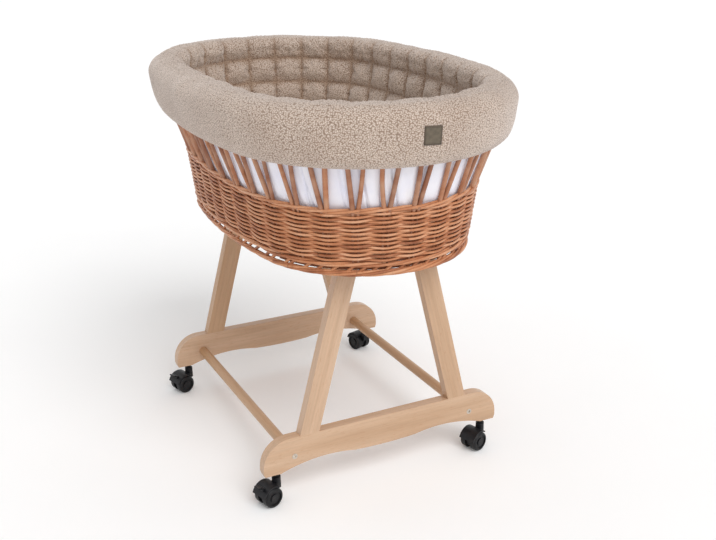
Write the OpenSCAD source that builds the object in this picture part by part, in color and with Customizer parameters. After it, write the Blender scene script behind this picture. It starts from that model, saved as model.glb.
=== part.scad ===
// Willow crib on a rolling wooden stand.
// Two end frames joined by round stretchers stand on four swivelling twin-wheel castors.
// An oval willow basket with a soft liner lifts off the frame on top.
// Millimetres, Z up, floor at Z = 0, X along the foot rails, Y along the basket.

/* [Castors] */
// Wheel diameter
wheel_d = 40; // [36:1:44]
// Width of one wheel
wheel_w = 13; // [11:0.5:15]
// Distance from the swivel axis back to the axle
trail = 19; // [16:0.5:22]
// Floor to the underside of the foot rails
castor_h = 60; // [57:0.5:66]
// Distance from a rail's end in to the swivel axis
castor_inset = 28; // [24:0.5:31]
// Diameter of the swivel stem
stem_d = 8; // [7:0.5:8.5]
// Length of the stem's sleeve inside the rail
sleeve_h = 32; // [24:1:38]
// Outside diameter of that sleeve
sleeve_d = 12; // [11:0.5:13]
// Least wood between a sleeve and a stretcher's hole
sleeve_clear = 5; // [3:0.5:12]
// Diameter of a wheel axle
axle_d = 5; // [4:0.5:6]
// Way the front left castor trails, degrees round from +X
front_left_heading = 196; // [0:1:360]
// Way the front right castor trails
front_right_heading = 198; // [0:1:360]
// Way the rear left castor trails
rear_left_heading = 196; // [0:1:360]
// Way the rear right castor trails
rear_right_heading = 105; // [0:1:360]

/* [Stand] */
// Distance between the two stretchers' axes
stretcher_span = 386; // [366:1:398]
// Depth over the outer faces of the two foot rails
stand_depth = 542; // [500:1:560]
// Thickness of the foot rails and legs
board_t = 20; // [18:0.5:24]
// Length of a foot rail
rail_len = 512; // [500:1:530]
// Height of a foot rail
rail_h = 70; // [66:1:80]
// Radius of a foot rail's upper corners
rail_corner_r = 54; // [40:1:58]
// Radius of a foot rail's lower corners
rail_toe_r = 9; // [5:0.5:11]
// Rise of the two arches under a foot rail
arch_rise = 16; // [12:0.5:18]
// Radius of those arches
arch_r = 300; // [280:5:330]
// Distance from the rail's middle to the top of an arch
arch_x = 125; // [118:1:130]
// How far the belly between the arches hangs below their tops
belly_drop = 8; // [5:0.5:10]
// Height of the stretchers' axes above the rail's underside
stretcher_up = 30; // [28:0.5:34]
// Diameter of a stretcher
stretcher_d = 20; // [17:0.5:22]
// Depth of a stretcher's seat in the rail
stretcher_seat = 6; // [4:0.5:8]
// Width of a leg
leg_w = 38; // [34:1:42]
// Height of a leg from rail to top frame
leg_h = 313; // [280:1:340]
// Inward lean of a leg in degrees
leg_lean = 14.5; // [12:0.5:16]
// Distance from the stand's middle to the middle of a leg's foot
leg_foot_x = 161.5; // [156:0.5:168]
// Thickness of the top rails and bearers
slat_t = 20; // [18:0.5:24]
// Width of a top rail
top_rail_w = 50; // [44:1:56]
// Overhang of a top rail past the legs
top_rail_over = 8; // [2:0.5:12]
// Width of a bearer
bearer_w = 40; // [34:1:46]
// Distance from the stand's middle to a bearer's middle
bearer_x = 70; // [60:1:80]

/* [Fasteners] */
// Diameter of the wooden dowels
dowel_d = 8; // [7:0.5:9]
// Length of the wooden dowels
dowel_len = 40; // [34:1:44]
// Diameter of the bolts into the stretchers
bolt_d = 6; // [5:0.5:7]
// Length of those bolts under the head
bolt_len = 56; // [46:1:64]
// Diameter of a bolt head
bolt_head_d = 11; // [10:0.5:13]
// Height of a bolt head
bolt_head_h = 4; // [3:0.25:5]
// Diameter of the screws through the top rails
screw_d = 5; // [4:0.5:6]
// Length of those screws
screw_len = 58; // [50:1:66]

/* [Basket] */
// Length of the basket's wall at its foot
base_len = 723; // [705:1:745]
// Width of the basket's wall at its foot
base_wid = 439; // [430:1:452]
// Radius of the round ends as a share of half the width
end_fullness = 0.94; // [0.92:0.005:0.955]
// Diameter of the foot border
border_d = 24; // [22:0.5:26]
// How far the foot border hangs below the base
border_drop = 8; // [6:0.5:9]
// Thickness of the woven base
base_t = 10; // [8:0.5:11]
// Height of the woven band above the foot border
band_h = 102; // [92:1:112]
// Number of ridges that the woven rows make up the band
band_rows = 13; // [8:1:16]
// Thickness of the woven wall
wall_t = 8; // [7.6:0.1:9]
// Outward slope of the band in degrees
band_flare = 7.7; // [6.5:0.1:9]
// Number of stake pairs round the basket
stake_pairs = 36; // [30:2:40]
// Diameter of a stake
stake_d = 7.6; // [6:0.1:8.4]
// Outward slope of the stakes in degrees
stake_flare = 19.4; // [18:0.2:20.6]
// Height of the stakes between band and rim
stake_h = 149; // [140:1:156]
// Distance between a pair's axes at the band
stake_foot_gap = 9; // [8:0.25:12]
// Distance between a pair's axes at the rim
stake_head_gap = 36; // [30:0.5:42]
// Diameter of the rim hoop
rim_d = 18; // [16:0.5:19]

/* [Soft parts] */
// Thickness of the cotton lining
lining_t = 2; // [1.5:0.1:2.4]
// Height of the mattress at its edge
mattress_h = 42; // [36:1:46]
// Extra height of the mattress in its middle
mattress_crown = 5; // [3:0.5:8]
// Slack between the mattress and the lining
mattress_slack = 8; // [6:0.5:12]
// Radius of the liner's roll over the rim
roll_r = 32; // [30:0.5:34]
// Distance the roll's middle sits inward of the rim hoop
roll_in = 14; // [12:0.5:16]
// Distance from the rim hoop's middle down to the cover's lower edge
cover_drop = 74; // [66:1:80]
// Columns of quilted squares round the inside
quilt_cols = 32; // [28:1:40]
// Rows of quilted squares below the half row under the cover
quilt_rows = 4; // [3:1:5]
// How far a quilted square puffs out
quilt_puff = 7; // [4:0.5:9]
// Side of the plain patch sewn on the cover
patch_size = 32; // [28:1:38]
// Thickness of that patch
patch_t = 1.2; // [0.8:0.1:2]

/* [Clearances] */
// Radial play of turning and pressed pins
pin_play = 0.05; // [0.02:0.01:0.08]
// Gap between soft or curved neighbours
soft_gap = 0.5; // [0.4:0.05:0.6]
// Gap between seated parts of different bodies
seat_gap = 0.3; // [0.2:0.05:0.35]

/* [Hidden] */
$fn = 96;

// Heights from the floor up.
rail_z = castor_h;
leg_z = rail_z + rail_h;
frame_z = leg_z + leg_h;
base_z = frame_z + slat_t;
stretcher_z = rail_z + stretcher_up;

// Stand in plan.
rail_mid_y = stand_depth/2 - board_t/2;
rail_inner_y = stand_depth/2 - board_t;
stretcher_x = stretcher_span/2;
stretcher_len = 2*(rail_inner_y + stretcher_seat);
// The rails reach far enough past the stretchers for a sleeve and some wood beside each one.
rail_full = max(rail_len, stretcher_span + stretcher_d + sleeve_d + 2*sleeve_clear + 2*castor_inset);
castor_x = rail_full/2 - castor_inset;
leg_top_x = leg_foot_x - leg_h*tan(leg_lean);
leg_run = leg_w/cos(leg_lean);
top_rail_len = 2*(leg_top_x + leg_run/2 + top_rail_over);
bearer_len = stand_depth - 2*top_rail_w;

// Castor, round its swivel axis with the axle behind on +X.
wheel_r = wheel_d/2;
web_t = 12;
wheel_in = web_t/2 + 0.5;
hood_in = wheel_r + 1.5;
hood_out = hood_in + 3;
boss_top = castor_h - 8;
boss_z = wheel_d + 0.5;
boss_d = 17;
neck_d = 11;
flange_t = 1.5;
flange_d = 16;
pivot_r = hood_out + 3.8;
pivot_a = 50;
pivot_x = trail + pivot_r*cos(pivot_a);
pivot_z = wheel_r + pivot_r*sin(pivot_a);
pivot_d = 3;
knuckle_w = 14;
ear_t = 2.7;
lever_len = 11;
lever_rise = 20;

// Four-centred oval: round ends, slightly bowed sides, every offset parallel to it.
half_len = base_len/2;
half_wid = base_wid/2;
end_r = end_fullness*half_wid;
side_r = (half_len*half_len + half_wid*half_wid - 2*half_len*end_r)/(2*(half_wid - end_r));
end_y = half_len - end_r;
side_x = side_r - half_wid;
turn = atan2(end_y, side_x);

// Step where a side of the oval meets an end.
seam_step = 0.4;

// Basket heights, and the offset of the wall's outer face at a height.
border_z = base_z - border_drop;
border_mid_z = border_z + border_d/2;
band_z = border_z + border_d - 2;
stake_z = band_z + band_h;
rim_z = stake_z + stake_h;
rim_mid_z = rim_z + 0.39*rim_d;
function wall(z) = z < stake_z
    ? (z - border_z)*tan(band_flare)
    : (stake_z - border_z)*tan(band_flare) + (z - stake_z)*tan(stake_flare);
// Half a stake's level depth, the distance between a pair's feet and the turn of the first pair.
stake_half = stake_d/(2*cos(stake_flare));
pair_foot = max(stake_foot_gap, 1.02*stake_d + seat_gap);
stake_shift = 0.22;
rim_x = wall(rim_z) - wall_t/2;
border_x = -border_d/6;
base_off = border_x - border_d/2 - seat_gap;

// Soft parts.
lining_z = base_z + base_t + seat_gap;
lining_top = rim_z - 1;
lining_foot = base_off + seat_gap;
function lining_out(z) = wall(z) - wall_t/2 - max(wall_t/2, stake_half) - soft_gap;
mattress_z = lining_z + lining_t + seat_gap;
panel_z = mattress_z + mattress_h + mattress_crown + 1.5;
roll_x = rim_x - roll_in;
roll_z = rim_mid_z + 3;
crest_r = roll_r*0.625;
crest_z = roll_z + roll_r;
panel_top = crest_z - crest_r - 4;
cover_z = rim_mid_z - cover_drop;
skirt_z = roll_z - 44;
skirt_x = roll_x + roll_r - 5.5;
patch_z = roll_z - 20;
patch_a = 267.4;

// Sweeps a profile drawn in (offset, height) round the oval: the first child round the ends,
// the second, a seam step smaller, along the sides. The sides run a little way into the ends.
module oval_sweep() {
    lap = 3/side_r*180/PI;
    for (half = [0, 180]) rotate(half) {
        translate([-side_x, 0, 0]) rotate(-turn - lap)
            rotate_extrude(angle = 2*(turn + lap)) translate([side_r, 0]) children(1);
        translate([0, end_y, 0]) rotate(turn)
            rotate_extrude(angle = 180 - 2*turn) translate([end_r, 0]) children(0);
    }
}

// The oval as a flat outline, grown or shrunk by off.
module oval_plate(off) {
    intersection() {
        translate([-side_x, 0]) circle(r = side_r + off, $fn = 360);
        translate([side_x, 0]) circle(r = side_r + off, $fn = 360);
        square([4*half_wid, 2*(side_r + off)*sin(turn)], center = true);
    }
    for (s = [-1, 1]) translate([0, s*end_y]) circle(r = end_r + off, $fn = 360);
}

// Place number t (0 to 1 round the oval) as [centre x, centre y, radius at offset 0, angle].
// Steps are even at half the stakes' height.
even_off = (wall(stake_z) + wall(rim_z))/2;
side_len = (side_r + even_off)*2*turn*PI/180;
end_len = (end_r + even_off)*(180 - 2*turn)*PI/180;
round_len = 2*(side_len + end_len);
function half_spot(d, s) = d < side_len
    ? [-s*side_x, 0, side_r, (s < 0 ? 180 : 0) - turn + 2*turn*d/side_len]
    : [0, s*end_y, end_r, (s < 0 ? 180 : 0) + turn + (180 - 2*turn)*(d - side_len)/end_len];
function spot(t) = let (d = t*round_len)
    d < round_len/2 ? half_spot(d, 1) : half_spot(d - round_len/2, -1);
function at(p, off, along, z) = [
    p[0] + (p[2] + off)*cos(p[3]) - along*sin(p[3]),
    p[1] + (p[2] + off)*sin(p[3]) + along*cos(p[3]), z];

// A round rod between two points, run on past both by the given length.
module rod(p, q, d, past) {
    v = q - p;
    len = norm(v);
    translate(p) rotate([0, acos(v[2]/len), atan2(v[1], v[0])])
        rotate(30) translate([0, 0, -past]) cylinder(d = d, h = len + 2*past, $fn = 32);
}

// Stacks closed loops of points into one solid: a ring whose last loop meets the first, or one
// that is capped at both ends.
module skin(loops, ring) {
    n = len(loops[0]);
    m = len(loops);
    pts = [for (l = loops) each l];
    sides = [for (j = [0:m - (ring ? 1 : 2)]) for (i = [0:n - 1]) let (k = (i + 1)%n, u = (j + 1)%m)
        each [[j*n + i, u*n + i, u*n + k], [j*n + i, u*n + k, j*n + k]]];
    caps = [[for (i = [0:n - 1]) i], [for (i = [0:n - 1]) m*n - 1 - i]];
    polyhedron(points = pts, faces = ring ? sides : concat(sides, caps));
}

// Foot rail outline: round shoulders, small toes, two shallow arches with a belly between.
module rail_outline() {
    mid = rail_full/2;
    difference() {
        union() {
            translate([-mid + rail_corner_r, rail_z]) square([rail_full - 2*rail_corner_r, rail_h]);
            for (s = [-1, 1]) {
                translate([s*(mid - rail_corner_r), leg_z - rail_corner_r]) circle(r = rail_corner_r);
                translate([s*(mid - rail_toe_r), rail_z + rail_toe_r]) circle(r = rail_toe_r);
                translate([s*(mid - rail_corner_r/2) - rail_corner_r/2, rail_z + rail_toe_r])
                    square([rail_corner_r, rail_h - rail_corner_r - rail_toe_r]);
                translate([s*(mid - rail_toe_r/2 - rail_corner_r/2) - (rail_corner_r - rail_toe_r)/2, rail_z])
                    square([rail_corner_r - rail_toe_r, rail_h - rail_corner_r]);
            }
        }
        for (s = [-1, 1]) translate([s*arch_x, rail_z + arch_rise - arch_r]) circle(r = arch_r, $fn = 360);
        difference() {
            translate([-arch_x, rail_z - 1]) square([2*arch_x, arch_rise]);
            translate([0, rail_z + arch_rise - belly_drop + 1000]) circle(r = 1000, $fn = 720);
            for (s = [-1, 1]) translate([s*arch_x - 60, rail_z - 1]) square([120, 3*arch_rise]);
        }
        translate([-mid - 1, rail_z - 50]) square([rail_full + 2, 50]);
    }
}

// Foot rail of the front frame, its outer face on -Y.
module foot_rail() {
    color("burlywood") difference() {
        translate([0, -rail_inner_y, 0]) rotate([90, 0, 0]) linear_extrude(board_t) rail_outline();
        for (s = [-1, 1]) {
            translate([s*stretcher_x, -rail_inner_y - stretcher_seat, stretcher_z]) rotate([-90, 0, 0])
                cylinder(d = stretcher_d + 2*pin_play, h = stretcher_seat + 1);
            translate([s*stretcher_x, -stand_depth/2 - 1, stretcher_z]) rotate([-90, 0, 0])
                cylinder(d = bolt_d + 2*pin_play, h = board_t + 2);
            translate([s*stretcher_x, -stand_depth/2 - 1, stretcher_z]) rotate([-90, 0, 0])
                cylinder(d = bolt_head_d + 2*pin_play, h = bolt_head_h + 0.4);
            translate([s*castor_x, -rail_mid_y, rail_z - 1])
                cylinder(d = sleeve_d + 2*pin_play, h = sleeve_h + 2);
            for (k = [-1, 1]) translate([s*(leg_foot_x - 2) + 8.5*k, -rail_mid_y, leg_z - dowel_len/2 - 1])
                cylinder(d = dowel_d + 2*pin_play, h = dowel_len);
        }
    }
}

// Leg of the front left corner, leaning in towards the middle.
module leg() {
    color("tan") difference() {
        translate([0, -rail_inner_y, 0]) rotate([90, 0, 0]) linear_extrude(board_t) polygon([
            [-leg_foot_x - leg_run/2, leg_z], [-leg_foot_x + leg_run/2, leg_z],
            [-leg_top_x + leg_run/2, frame_z], [-leg_top_x - leg_run/2, frame_z]]);
        for (k = [-1, 1]) translate([-leg_foot_x + 2 + 8.5*k, -rail_mid_y, leg_z - 1])
            cylinder(d = dowel_d + 2*pin_play, h = dowel_len/2 + 2);
        translate([-leg_top_x, -rail_mid_y, base_z - screw_len - 1])
            cylinder(d = screw_d + 2*pin_play, h = screw_len);
    }
}

// Top rail lying across the front pair of legs.
module top_rail() {
    color("burlywood") difference() {
        translate([-top_rail_len/2, -stand_depth/2, frame_z]) cube([top_rail_len, top_rail_w, slat_t]);
        for (s = [-1, 1]) {
            translate([s*leg_top_x, -rail_mid_y, frame_z - 1])
                cylinder(d = screw_d + 2*pin_play, h = slat_t + 2);
            translate([s*leg_top_x, -rail_mid_y, base_z - 3.6])
                cylinder(d1 = screw_d + 2*pin_play, d2 = 2*screw_d + 1, h = 3.7);
            for (k = [-1, 1])
                translate([s*bearer_x + 10*k, -stand_depth/2 + top_rail_w - dowel_len/2 - 1,
                    frame_z + slat_t/2])
                    rotate([-90, 0, 0]) cylinder(d = dowel_d + 2*pin_play, h = dowel_len);
        }
    }
}

// Bearer between the two top rails, on the left side.
module bearer() {
    color("tan") difference() {
        translate([-bearer_x - bearer_w/2, -bearer_len/2, frame_z]) cube([bearer_w, bearer_len, slat_t]);
        for (e = [-1, 1]) for (k = [-1, 1])
            translate([-bearer_x + 10*k, e*(bearer_len/2 - dowel_len/4), frame_z + slat_t/2])
                rotate([90, 0, 0]) cylinder(d = dowel_d + 2*pin_play, h = dowel_len/2 + 2, center = true);
    }
}

// Round stretcher on the left side, bored at both ends for its bolts.
module stretcher() {
    color("peru") difference() {
        translate([-stretcher_x, -stretcher_len/2, stretcher_z]) rotate([-90, 0, 0])
            cylinder(d = stretcher_d, h = stretcher_len);
        for (e = [-1, 1]) translate([-stretcher_x, e*stand_depth/2, stretcher_z])
            rotate([90, 0, 0]) cylinder(d = bolt_d + 2*pin_play, h = 2*bolt_len, center = true);
    }
}

// Four bolts through the foot rails into the stretchers.
module stretcher_bolts() {
    color("silver") for (e = [0, 180]) rotate(e) for (s = [-1, 1])
        translate([s*stretcher_x, -stand_depth/2 + bolt_head_h - 0.6, stretcher_z]) rotate([90, 0, 0])
            difference() {
                union() {
                    cylinder(d = bolt_head_d, h = bolt_head_h);
                    translate([0, 0, -bolt_len + bolt_head_h]) cylinder(d = bolt_d, h = bolt_len);
                }
                translate([0, 0, bolt_head_h - 1.8]) cylinder(d = bolt_head_d*0.45, h = 2, $fn = 6);
            }
}

// Eight dowels between the foot rails and the legs.
module leg_dowels() {
    color("wheat") for (e = [0, 180]) rotate(e) for (s = [-1, 1]) for (k = [-1, 1])
        translate([s*(leg_foot_x - 2) + 8.5*k, -rail_mid_y, leg_z - dowel_len/2])
            cylinder(d = dowel_d, h = dowel_len);
}

// Eight dowels between the bearers and the top rails.
module bearer_dowels() {
    color("wheat") for (e = [0, 180]) rotate(e) for (s = [-1, 1]) for (k = [-1, 1])
        translate([s*bearer_x + 10*k, -bearer_len/2 - dowel_len/2, frame_z + slat_t/2])
            rotate([-90, 0, 0]) cylinder(d = dowel_d, h = dowel_len);
}

// Four countersunk screws that hold the top rails down on the legs.
module top_screws() {
    color("silver") for (e = [0, 180]) rotate(e) for (s = [-1, 1])
        translate([s*leg_top_x, -rail_mid_y, base_z - screw_len]) difference() {
            union() {
                cylinder(d = screw_d, h = screw_len - 0.4);
                translate([0, 0, screw_len - 3.2]) cylinder(d1 = screw_d, d2 = 2*screw_d, h = 2.8);
            }
            for (r = [0, 90]) rotate(r) translate([-2.2, -0.5, screw_len - 2.2]) cube([4.4, 1, 3]);
        }
}

// Four flanged sleeves pressed into the foot rails.
module castor_sleeves() {
    color("dimgray") for (e = [0, 180]) rotate(e) for (s = [-1, 1])
        translate([s*castor_x, -rail_mid_y, rail_z]) difference() {
            union() {
                translate([0, 0, -flange_t]) cylinder(d = flange_d, h = flange_t);
                cylinder(d = sleeve_d, h = sleeve_h);
            }
            translate([0, 0, -flange_t - 1]) cylinder(d = stem_d + 2*pin_play, h = sleeve_h - 1);
        }
}

// Four stems held in the sleeves; the castors swivel on their lower ends.
module castor_stems() {
    color("gray") for (e = [0, 180]) rotate(e) for (s = [-1, 1]) translate([s*castor_x, -rail_mid_y, 0]) {
        translate([0, 0, boss_top - 20]) cylinder(d = stem_d, h = rail_z + sleeve_h - 4.5 - boss_top + 20);
        translate([0, 0, boss_top + seat_gap])
            cylinder(d = neck_d, h = rail_z - flange_t - boss_top - seat_gap);
    }
}

// Puts a castor part under one corner, turned the way that castor trails.
module castor_at(sx, sy, heading) {
    translate([sx*castor_x, sy*rail_mid_y, 0]) rotate(heading) children();
}

// Castor body: web between the wheels, hood over them, swivel boss, and ears when it has a brake.
module housing(braked) {
    color("#303034") difference() {
        union() {
            translate([0, web_t/2, 0]) rotate([90, 0, 0]) linear_extrude(web_t) {
                translate([trail, wheel_r]) circle(r = wheel_r - 4.5);
                intersection() {
                    translate([trail, wheel_r]) circle(r = hood_in + 1);
                    polygon([[trail, wheel_r], [trail + 60, wheel_r + 16], [trail + 60, wheel_r + 80],
                        [-6.5, wheel_r + 80], [-6.5, wheel_r + 6]]);
                }
                translate([-6.5, boss_top - 24]) square([13, boss_z - boss_top + 26]);
            }
            translate([0, 0, boss_z]) cylinder(d = boss_d, h = boss_top - boss_z);
            translate([trail, 0, wheel_r]) rotate([90, 0, 0]) rotate(15) rotate_extrude(angle = 112)
                translate([hood_in, -wheel_in - wheel_w + 1])
                    square([hood_out - hood_in, 2*(wheel_in + wheel_w - 1)]);
            if (braked) for (s = [-1, 1]) translate([pivot_x, s*(knuckle_w/2 + ear_t/2 + 0.3), pivot_z]) {
                rotate([90, 0, 0]) cylinder(d = 7, h = ear_t, center = true);
                rotate([0, -pivot_a, 0]) translate([-5.2, -ear_t/2, -2.5]) cube([5.2, ear_t, 5]);
            }
        }
        translate([0, 0, boss_top - 20.6]) cylinder(d = stem_d + 2*pin_play, h = 40);
        translate([trail, 0, wheel_r]) rotate([90, 0, 0])
            cylinder(d = axle_d + 2*pin_play, h = 2*web_t, center = true);
        if (braked) translate([pivot_x, 0, pivot_z]) rotate([90, 0, 0])
            cylinder(d = pivot_d + 2*pin_play, h = 3*knuckle_w, center = true);
    }
}

// Axle through the web, its ends inside the wheels' hubs.
module axle() {
    color("silver") translate([trail, 0, wheel_r]) rotate([90, 0, 0])
        cylinder(d = axle_d, h = 2*(wheel_in + wheel_w - 2), center = true);
}

// Wheel with a rounded tread, a ring recess and a closed hub, on the +Y side.
module wheel() {
    shoulder = 4;
    color("#26262a") translate([trail, wheel_in, wheel_r]) rotate([-90, 0, 0]) rotate_extrude() difference() {
        union() {
            square([wheel_r, wheel_w - shoulder]);
            square([wheel_r - shoulder, wheel_w]);
            translate([wheel_r - shoulder, wheel_w - shoulder]) circle(r = shoulder);
        }
        translate([-1, -1]) square([axle_d/2 + pin_play + 1, wheel_w - 0.6]);
        translate([0.42*wheel_r, wheel_w - 2]) square([0.3*wheel_r, 3]);
        translate([-2*wheel_r, -1]) square([2*wheel_r, 2*wheel_w]);
    }
}

// The castor's other wheel, its mirror image.
module other_wheel() {
    mirror([0, 1, 0]) wheel();
}

// Brake pedal turning on its own stub pin between the ears.
module brake() {
    color("#3a3a40") translate([pivot_x, 0, pivot_z]) {
        rotate([90, 0, 0]) cylinder(d = 6.4, h = knuckle_w, center = true);
        rotate([90, 0, 0]) cylinder(d = pivot_d, h = knuckle_w + 2*ear_t + 0.6, center = true);
        rotate([0, -lever_rise, 0]) translate([0, 0.5 - knuckle_w/2, -0.2])
            cube([lever_len, knuckle_w - 1, 2.6]);
    }
}

// Woven base that lies on the stand's top frame.
module basket_base() {
    color("sienna") translate([0, 0, base_z]) linear_extrude(base_t) oval_plate(base_off);
}

// Thick border round the foot of the basket; it drops over the stand's top frame.
module foot_border() {
    color("sienna") oval_sweep() {
        border_profile(0);
        border_profile(seam_step);
    }
}

// Round section of the border, cut flat on top for the band.
module border_profile(inset) {
    intersection() {
        translate([border_x, border_mid_z]) circle(d = border_d - 2*inset, $fn = 64);
        translate([border_x - border_d, border_z - 1]) square([2*border_d, border_d - 1 - inset]);
    }
}

// Woven band: one ridge to a row, sloping out to the stakes' feet.
module woven_band() {
    color("peru") oval_sweep() {
        band_profile(0);
        band_profile(seam_step);
    }
}

// Section of the band, its ridges on the outer side.
module band_profile(inset) {
    pitch = band_h/band_rows;
    polygon(concat(
        [for (k = [0:band_rows - 1]) each [
            [wall(band_z + k*pitch) - 2 - inset, band_z + k*pitch + (k == 0 ? inset : 0)],
            [wall(band_z + (k + 0.5)*pitch) - inset, band_z + (k + 0.5)*pitch]]],
        [[wall(stake_z) - inset, stake_z - inset], [wall(stake_z) - wall_t + inset, stake_z - inset],
            [wall(band_z) - wall_t + inset, band_z + inset]]));
}

// Pairs of stakes that open like a V from the band up to the rim.
module stakes() {
    color("sandybrown") for (k = [0:stake_pairs - 1]) for (s = [-1, 1])
        let (p = spot((k + stake_shift)/stake_pairs)) intersection() {
            rod(at(p, wall(stake_z) - wall_t/2, s*pair_foot/2, stake_z),
                at(p, wall(rim_z) - wall_t/2, s*stake_head_gap/2, rim_z), stake_d, 8);
            translate(at(p, 0, 0, stake_z) - [100, 100, 0]) cube([200, 200, stake_h]);
        }
}

// Hoop on top of the stakes, flat underneath where they end.
module rim_hoop() {
    color("sienna") oval_sweep() {
        rim_profile(0);
        rim_profile(seam_step);
    }
}

// Round section of the hoop with its flat underside.
module rim_profile(inset) {
    intersection() {
        translate([rim_x, rim_mid_z]) circle(d = rim_d - 2*inset, $fn = 64);
        translate([rim_x - rim_d, rim_z + inset]) square([2*rim_d, 2*rim_d]);
    }
}

// Thin cotton tub between the willow and the padding.
module lining() {
    color("white") {
        oval_sweep() {
            lining_profile(0);
            lining_profile(lining_t/6);
        }
        translate([0, 0, lining_z + lining_t/4]) linear_extrude(lining_t/2) oval_plate(lining_foot - 8);
    }
}

// Section of the lining: a hem of the floor, then up the inside of the band and the stakes.
module lining_profile(inset) {
    bend = band_z + 8;
    out = -inset;
    in = inset - lining_t;
    polygon([[lining_foot - 14 + inset, lining_z + inset], [lining_foot + out, lining_z + inset],
        [lining_out(bend) + out, bend], [lining_out(stake_z) + out, stake_z],
        [lining_out(lining_top) + out, lining_top - inset], [lining_out(lining_top) + in, lining_top - inset],
        [lining_out(stake_z) + in, stake_z], [lining_out(bend) + in, bend],
        [lining_foot - 1 + inset, lining_z + lining_t - inset],
        [lining_foot - 14 + inset, lining_z + lining_t - inset]]);
}

// Padded panel inside, sewn into squares that puff out between the seams.
module quilted_panel() {
    n = 2*quilt_cols;
    m = 2*quilt_rows + 1;
    low = lining_out(panel_z) - lining_t - 14;
    high = roll_x - roll_r + 1;
    top = panel_top - seat_gap;
    back = lining_out(panel_z) - lining_t - soft_gap;
    back_mid = lining_out(stake_z) - lining_t - soft_gap;
    back_high = min(lining_out(lining_top) - lining_t, rim_x - rim_d/2) - soft_gap;
    color("antiquewhite") skin(concat(
        [[for (i = [0:n - 1]) at(spot(i/n), back, 0, panel_z)]],
        [for (j = [0:m]) [for (i = [0:n - 1]) at(spot(i/n),
            low + (high - low)*j/m - (i%2 == 1 && j%2 == 1 ? quilt_puff : 0), 0,
            panel_z + (top - panel_z)*j/m)]],
        [[for (i = [0:n - 1]) at(spot(i/n), back_high, 0, top)]],
        [[for (i = [0:n - 1]) at(spot(i/n), back_high, 0, lining_top)]],
        [[for (i = [0:n - 1]) at(spot(i/n), back_mid, 0, stake_z)]]), true);
}

// Plush cover: a wide roll over the rim and a skirt down the outside of the stakes.
module liner_cover() {
    color("tan") oval_sweep() {
        cover_profile(0);
        cover_profile(seam_step);
    }
}

// Section of the cover, hollow where the rim hoop lies in it.
module cover_profile(inset) {
    crest_x = roll_x - roll_in;
    crest_mid = crest_z - crest_r;
    crest = crest_r - inset;
    roll = roll_r - inset;
    out = skirt_x - inset;
    in = 2*soft_gap + max(0, stake_half - wall_t/2) + inset;
    low = cover_z + inset;
    hollow = rim_d/2 + soft_gap + inset;
    polygon(concat(
        [[crest_x - crest + 0.4, panel_top + inset]],
        [for (a = [168:-13:90]) [crest_x + crest*cos(a), crest_mid + crest*sin(a)]],
        [for (a = [90:-10:0]) [roll_x + roll*cos(a), roll_z + roll*sin(a)]],
        [[out, skirt_z], [out - 3.5, skirt_z - 11], [out - 10, cover_z + 9], [out - 18, low + 2],
            [wall(cover_z) + 6, low], [wall(cover_z) + 1 + in, low + 0.5],
            [wall(cover_z + 3) + in, low + 3], [wall(rim_z - 3) + in, rim_z - 3]],
        [for (a = [-45:25:130]) [rim_x + hollow*cos(a), rim_mid_z + hollow*sin(a)]],
        [[rim_x + hollow*cos(130) - 2, panel_top + inset]]));
}

// Oval mattress with soft edges and a low crown.
module mattress() {
    n = 72;
    edge = lining_out(mattress_z + mattress_h/2) - lining_t - mattress_slack;
    shape = [[-20, 0], [-6, 0.1], [0, 0.32], [0, 0.62], [-5, 0.86], [-16, 0.98], [-40, 1]];
    color("ivory") skin(concat(
        [for (s = shape) [for (i = [0:n - 1]) at(spot(i/n), edge + s[0], 0, mattress_z + s[1]*mattress_h)]],
        [for (c = [[-90, 0.62], [-150, 0.94]]) [for (i = [0:n - 1])
            at(spot(i/n), edge + c[0], 0, mattress_z + mattress_h + c[1]*mattress_crown)]]), false);
}

// Plain square patch sewn on the front of the cover.
module label_patch() {
    span = patch_size/(end_r + skirt_x)*180/PI;
    lean = (roll_x + roll_r - skirt_x)/(roll_z - skirt_z);
    z = patch_z - patch_size/2;
    x = skirt_x + (z - skirt_z)*lean + seat_gap;
    rise = patch_size*lean;
    color("#6a6355") translate([0, -end_y, 0]) rotate(patch_a - span/2) rotate_extrude(angle = span)
        translate([end_r, 0]) polygon([[x, z], [x + patch_t, z], [x + patch_t + rise, z + patch_size],
            [x + rise, z + patch_size]]);
}

foot_rail();  // front_foot_rail
rotate(180) foot_rail();  // rear_foot_rail
leg();  // front_left_leg
mirror([1, 0, 0]) leg();  // front_right_leg
mirror([0, 1, 0]) leg();  // rear_left_leg
rotate(180) leg();  // rear_right_leg
top_rail();  // front_top_rail
rotate(180) top_rail();  // rear_top_rail
bearer();  // left_bearer
rotate(180) bearer();  // right_bearer
stretcher();  // left_stretcher
rotate(180) stretcher();  // right_stretcher
stretcher_bolts();
leg_dowels();
bearer_dowels();
top_screws();
castor_sleeves();
castor_stems();
castor_at(-1, -1, front_left_heading) housing(true);  // front_left_housing
castor_at(-1, -1, front_left_heading) axle();  // front_left_axle
castor_at(-1, -1, front_left_heading) wheel();  // front_left_wheel_a
castor_at(-1, -1, front_left_heading) other_wheel();  // front_left_wheel_b
castor_at(1, -1, front_right_heading) housing(false);  // front_right_housing
castor_at(1, -1, front_right_heading) axle();  // front_right_axle
castor_at(1, -1, front_right_heading) wheel();  // front_right_wheel_a
castor_at(1, -1, front_right_heading) other_wheel();  // front_right_wheel_b
castor_at(-1, 1, rear_left_heading) housing(true);  // rear_left_housing
castor_at(-1, 1, rear_left_heading) axle();  // rear_left_axle
castor_at(-1, 1, rear_left_heading) wheel();  // rear_left_wheel_a
castor_at(-1, 1, rear_left_heading) other_wheel();  // rear_left_wheel_b
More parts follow.
